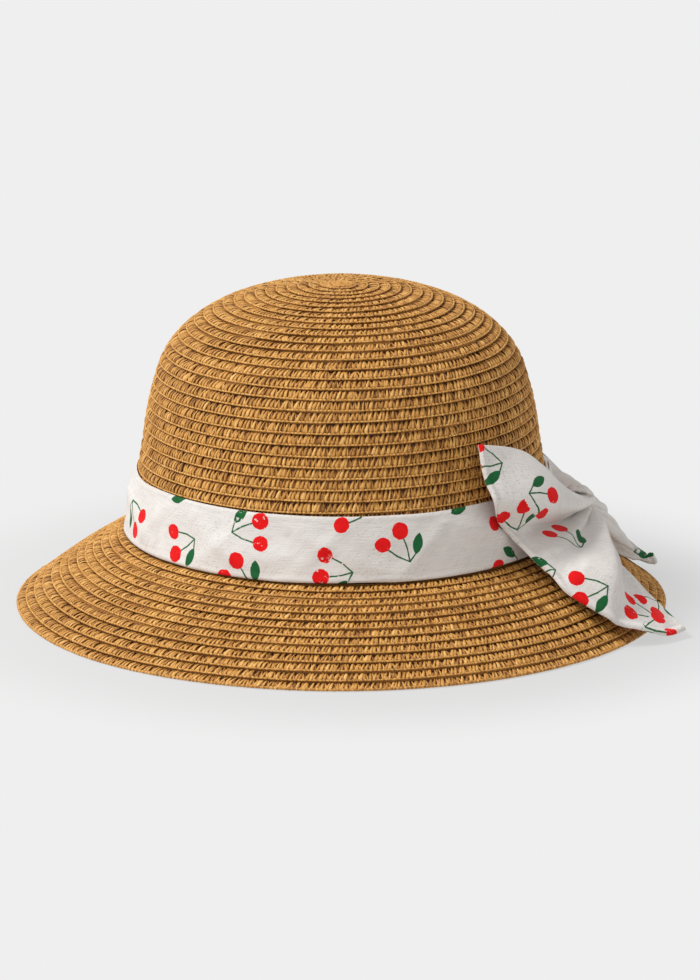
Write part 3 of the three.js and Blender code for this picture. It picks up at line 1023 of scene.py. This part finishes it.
# ---- Inside the crown ----
def sweatband():
    """A ribbon round the inside of the crown, its lap, its blank label and its stitches."""
    low, high = CROWN.at_height(SWEAT_LOW[2] + 0.8), CROWN.at_height(SWEAT_HIGH[2] - 0.6)
    around = 720
    theta = round_column(around)
    lift = 0.12 * np.sin(theta * 5) + 0.08 * np.sin(theta * 11 + 1)
    ribbon, _, _ = strip(
        "sweatband_ribbon", CROWN, (low, high), -3.25, 0.4, RIBBON, "sweatband",
        lift=lift, cells=(around, 30),
    )
    lap, _, _ = strip(
        "sweatband_lap_ribbon", CROWN, (low + 0.4, high - 0.4), -4.6, 0.42, RIBBON,
        "sweatband_lap", span=(BACK - 0.09, BACK + 0.09),
    )
    label, _, _ = strip(
        "inner_label_satin", CROWN, (low + 3.5, high - 5), -4.6, 0.35, SATIN,
        "inner_label", span=(BACK + 0.16, BACK + 0.46),
    )
    stitches(low)


def stitches(low):
    """Running stitches along the sweatband's lower edge and round the label and the lap."""
    stitch_pitch, wall_radius = 3.4, 87
    bundle = Bundle()
    lines = [(0, TURN, low + 2.2, low + 2.2, -3.8)]
    for side in (BACK - 0.075, BACK + 0.075):
        lines.append((side, side, low + 2, low + 24, -5.15))
    for side in (BACK + 0.175, BACK + 0.445):
        lines.append((side, side, low + 4.5, low + 18.5, -5.1))
    for theta_from, theta_to, s_from, s_to, h in lines:
        run = max(abs(theta_to - theta_from) * wall_radius, abs(s_to - s_from))
        count = int(run / stitch_pitch)
        place = (np.arange(count)[:, None] + np.linspace(0.15, 0.75, 5)[None]) / count
        theta = theta_from + (theta_to - theta_from) * place
        s = s_from + (s_to - s_from) * place
        dip = h + 0.35 * np.abs(np.linspace(-1, 1, 5)) ** 3
        centres = CROWN.place(theta, s, dip + 0 * theta)
        points, quads = tubes(centres, CROWN.normal(theta, s), 0.2, 0.18, 6)
        bundle.add(points, quads, 0.5)
    bundle.piece("sweatband_stitches", THREAD, "sewing_thread")


sweatband()
for tack in ("bow_tack_lower", "bow_tack_upper"):
    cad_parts[tack].data.materials.clear()
    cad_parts[tack].data.materials.append(THREAD)


# ---- Floor, light and camera ----
BACKDROP = 0.863  # the pale grey that the floor is lit to as well
SKY = 0.61
SUN = 2.45
SUN_ANGLE = 16  # degrees across, which sets how soft its shadows are
TO_SUN = (-0.8, -0.23, 1.0)
FLOOR_WHITE = 0.15
FLOOR_PAINTED_SHADOW = 0.1  # a painted shadow: how much less the floor glows close round the hat
FLOOR_SUN = SUN * TO_SUN[2] / math.hypot(*TO_SUN) / math.pi
FLOOR_GLOW = BACKDROP - FLOOR_WHITE * (SKY + FLOOR_SUN)


def studio():
    """A pale floor that fades into the background, with a painted shadow round the hat, an even sky
    and a soft sun, upper left.
    """
    floor_mesh = bpy.data.meshes.new("studio_floor")
    half = 6.0
    corners = [(-half, -half, 0), (half, -half, 0), (half, half, 0), (-half, half, 0)]
    floor_mesh.from_pydata(corners, [], [(0, 1, 2, 3)])
    floor = add_object("studio_floor", floor_mesh)
    shader = Shader("studio_floor", roughness=0.9, specular=0.0)
    shader.bsdf.inputs["Base Color"].default_value = (*[FLOOR_WHITE] * 3, 1)
    shader.bsdf.inputs["Emission Color"].default_value = (1, 1, 1, 1)
    split = shader.tree.nodes.new("ShaderNodeSeparateXYZ")
    shader.link(shader.position(), split.inputs[0])
    x, y = [
        Value(shader.tree, output) - centre
        for output, centre in zip(split.outputs, (AXIS_X * MM, 0))
    ]
    # painted shadow: the floor glows less close round the hat, more so towards the right
    painted_shadow_reach = x.length_with(y).remap(0.145, 0.225, 1, 0)
    glow = (painted_shadow_reach * (x * 2.5 + 1)) * (-FLOOR_PAINTED_SHADOW) + FLOOR_GLOW
    shader.link(glow, shader.bsdf.inputs["Emission Strength"])
    floor_mesh.materials.append(shader.material)

    world = bpy.data.worlds.new("studio")
    bpy.context.scene.world = world
    world.use_nodes = True
    nodes, links = world.node_tree.nodes, world.node_tree.links
    nodes["Background"].inputs["Color"].default_value = (1, 1, 1, 1)
    nodes["Background"].inputs["Strength"].default_value = SKY
    seen = nodes.new("ShaderNodeBackground")
    seen.inputs["Color"].default_value = (*[BACKDROP] * 3, 1)
    path = nodes.new("ShaderNodeLightPath")
    mix = nodes.new("ShaderNodeMixShader")
    links.new(path.outputs["Is Camera Ray"], mix.inputs[0])
    links.new(nodes["Background"].outputs[0], mix.inputs[1])
    links.new(seen.outputs[0], mix.inputs[2])
    links.new(mix.outputs[0], nodes["World Output"].inputs["Surface"])

    data = bpy.data.lights.new("soft_sun", "SUN")
    data.energy = SUN
    data.angle = math.radians(SUN_ANGLE)
    lamp = add_object("soft_sun", data)
    lamp.rotation_mode = "QUATERNION"
    lamp.rotation_quaternion = Vector(TO_SUN).to_track_quat("Z", "Y")
    scene = bpy.context.scene
    scene.view_settings.view_transform = "Standard"
    scene.view_settings.look = "None"


def camera():
    """A long lens in front of the hat and a little above it, aimed just under the hat's middle."""
    elevation = math.radians(14.7)
    distance = 2.64
    frame_height = 0.4312  # what the picture's height takes in at that distance
    data = bpy.data.cameras.new("camera")
    data.sensor_width = 36
    data.lens = data.sensor_width * distance / frame_height
    made = add_object("camera", data)
    back = Vector((0, -math.cos(elevation), math.sin(elevation)))
    up = Vector((0, math.sin(elevation), math.cos(elevation)))
    aim = Vector((AXIS_X * MM + 0.0038, 0, 0.066)) - up * 0.0153
    made.location = aim + back * distance
    made.rotation_mode = "QUATERNION"
    made.rotation_quaternion = (-back).to_track_quat("-Z", "Y")
    bpy.context.scene.camera = made


camera()
studio()
